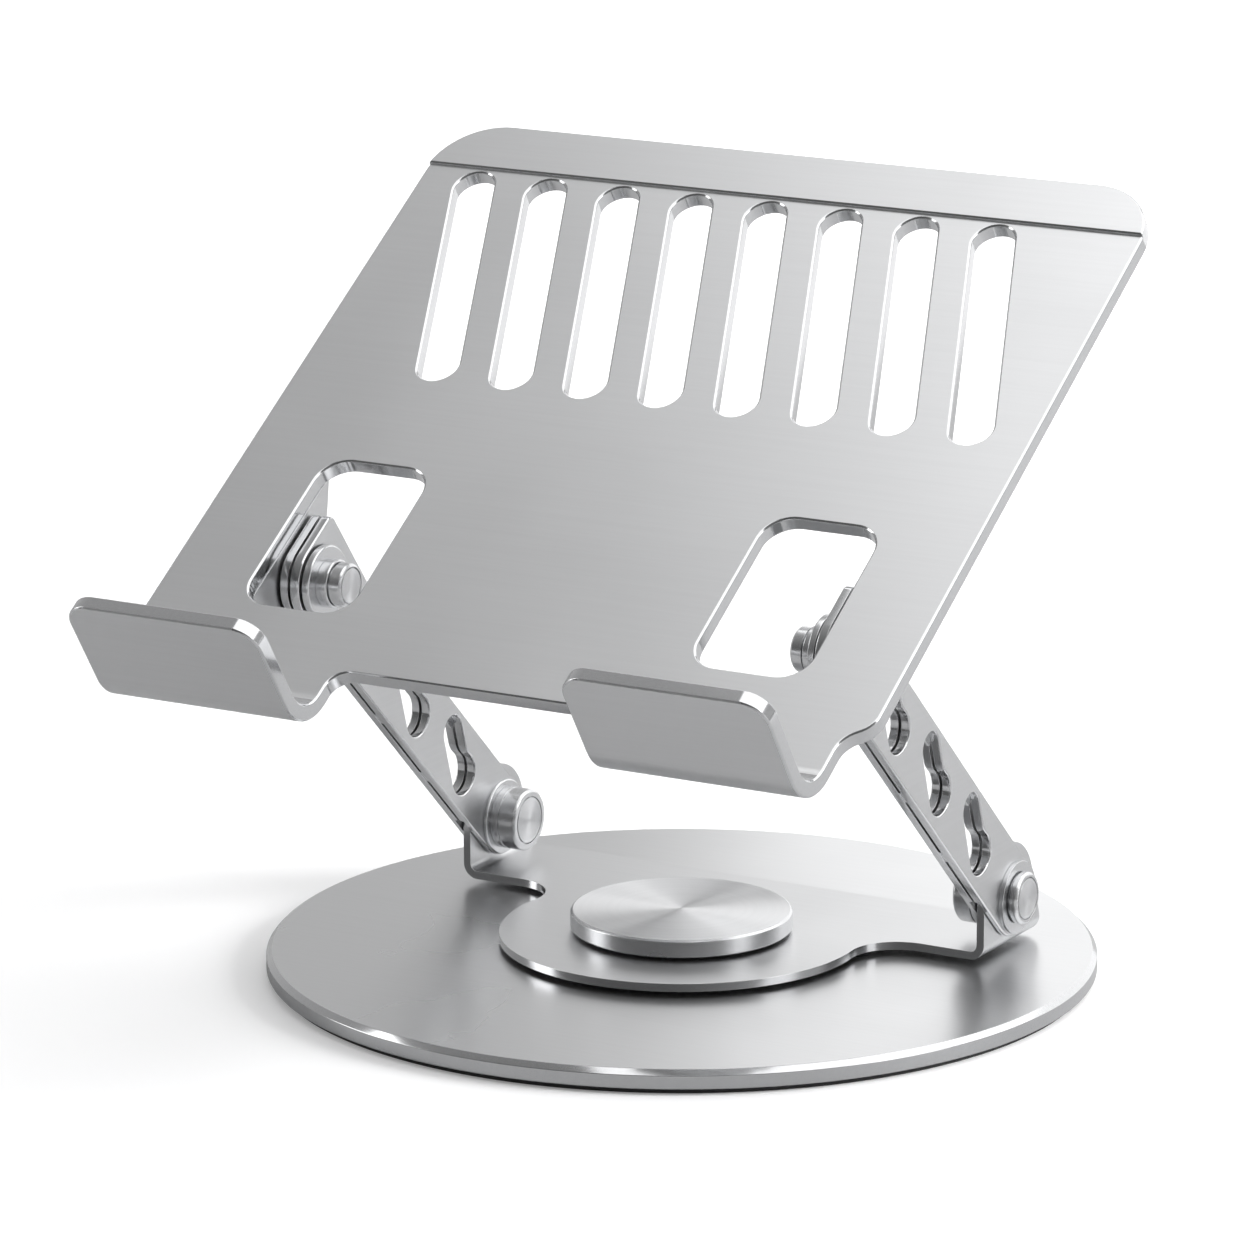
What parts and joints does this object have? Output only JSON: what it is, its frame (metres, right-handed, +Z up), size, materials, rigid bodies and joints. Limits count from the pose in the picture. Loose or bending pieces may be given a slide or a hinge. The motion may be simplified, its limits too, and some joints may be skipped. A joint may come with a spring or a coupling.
{
  "type": "laptop stand",
  "caption": "Folding laptop stand: slotted tray with front hooks on two hinged arms, raised and tilted on a bracket that turns on a round base.",
  "frame": {"origin": "centre of the base's underside, on the surface the stand rests on", "axes": "+Z up along the swivel's axis, -Y towards the user and the tray's hooks, +X to the user's right"},
  "size_m": [0.22, 0.2485, 0.2078],
  "materials": {
    "anodised_sheet": "satin anodised",
    "turned_aluminium": "turned, polished",
    "spun_aluminium": "radially brushed",
    "screw_steel": "plain",
    "black_rubber": "matte, fine grain",
    "black_plastic": "satin"
  },
  "bodies": {
    "base": {"base_plate": "anodised_sheet", "base_rubber_pad": "black_rubber", "centre_cap": "spun_aluminium", "lower_slip_washer": "black_plastic", "pivot_screws": "screw_steel", "upper_slip_washer": "black_plastic"},
    "swivel": {"swivel_bracket": "anodised_sheet"},
    "left_arm": {"left_arm_inner_plate": "anodised_sheet", "left_arm_outer_plate": "anodised_sheet", "left_arm_spacers": "anodised_sheet", "left_lower_bolt": "turned_aluminium", "left_lower_cap_nut": "turned_aluminium", "left_lower_friction_washers": "black_plastic", "left_lower_hub": "turned_aluminium", "left_lower_inner_washer": "turned_aluminium", "left_lower_outer_washer": "turned_aluminium", "left_lower_trim_discs": "spun_aluminium", "left_upper_bolt": "turned_aluminium", "left_upper_cap_nut": "turned_aluminium", "left_upper_ear_washer": "black_plastic", "left_upper_gap_ring": "turned_aluminium", "left_upper_large_washer": "turned_aluminium", "left_upper_outer_washer": "turned_aluminium", "left_upper_sleeve": "turned_aluminium", "left_upper_thin_washer": "black_plastic", "left_upper_trim_discs": "spun_aluminium"},
    "right_arm": {"right_arm_inner_plate": "anodised_sheet", "right_arm_outer_plate": "anodised_sheet", "right_arm_spacers": "anodised_sheet", "right_lower_bolt": "turned_aluminium", "right_lower_cap_nut": "turned_aluminium", "right_lower_friction_washers": "black_plastic", "right_lower_hub": "turned_aluminium", "right_lower_inner_washer": "turned_aluminium", "right_lower_outer_washer": "turned_aluminium", "right_lower_trim_discs": "spun_aluminium", "right_upper_bolt": "turned_aluminium", "right_upper_cap_nut": "turned_aluminium", "right_upper_ear_washer": "black_plastic", "right_upper_gap_ring": "turned_aluminium", "right_upper_large_washer": "turned_aluminium", "right_upper_outer_washer": "turned_aluminium", "right_upper_sleeve": "turned_aluminium", "right_upper_thin_washer": "black_plastic", "right_upper_trim_discs": "spun_aluminium"},
    "tray": {"laptop_tray": "anodised_sheet", "left_tray_ear": "anodised_sheet", "right_tray_ear": "anodised_sheet"}
  },
  "joints": [
    {"name": "swivel", "type": "hinge", "parent": "base", "child": "swivel", "pos_m": [0, 0, 0], "axis": [0, 0, 1], "continuous": true},
    {"name": "left_arm_lift", "type": "hinge", "parent": "swivel", "child": "left_arm", "pos_m": [0, 0.0341, 0.0222], "axis": [-1, 0, 0], "range_deg": [-20, 40]},
    {"name": "right_arm_lift", "type": "hinge", "parent": "swivel", "child": "right_arm", "pos_m": [0, 0.0341, 0.0222], "axis": [-1, 0, 0], "range_deg": [-20, 40]},
    {"name": "tray_tilt", "type": "hinge", "parent": "left_arm", "child": "tray", "pos_m": [0, -0.05694, 0.108], "axis": [1, 0, 0], "range_deg": [-35, 25]}
  ],
  "couplings": [
    {"joint": "right_arm_lift", "follows": "left_arm_lift", "ratio": 1}
  ]
}
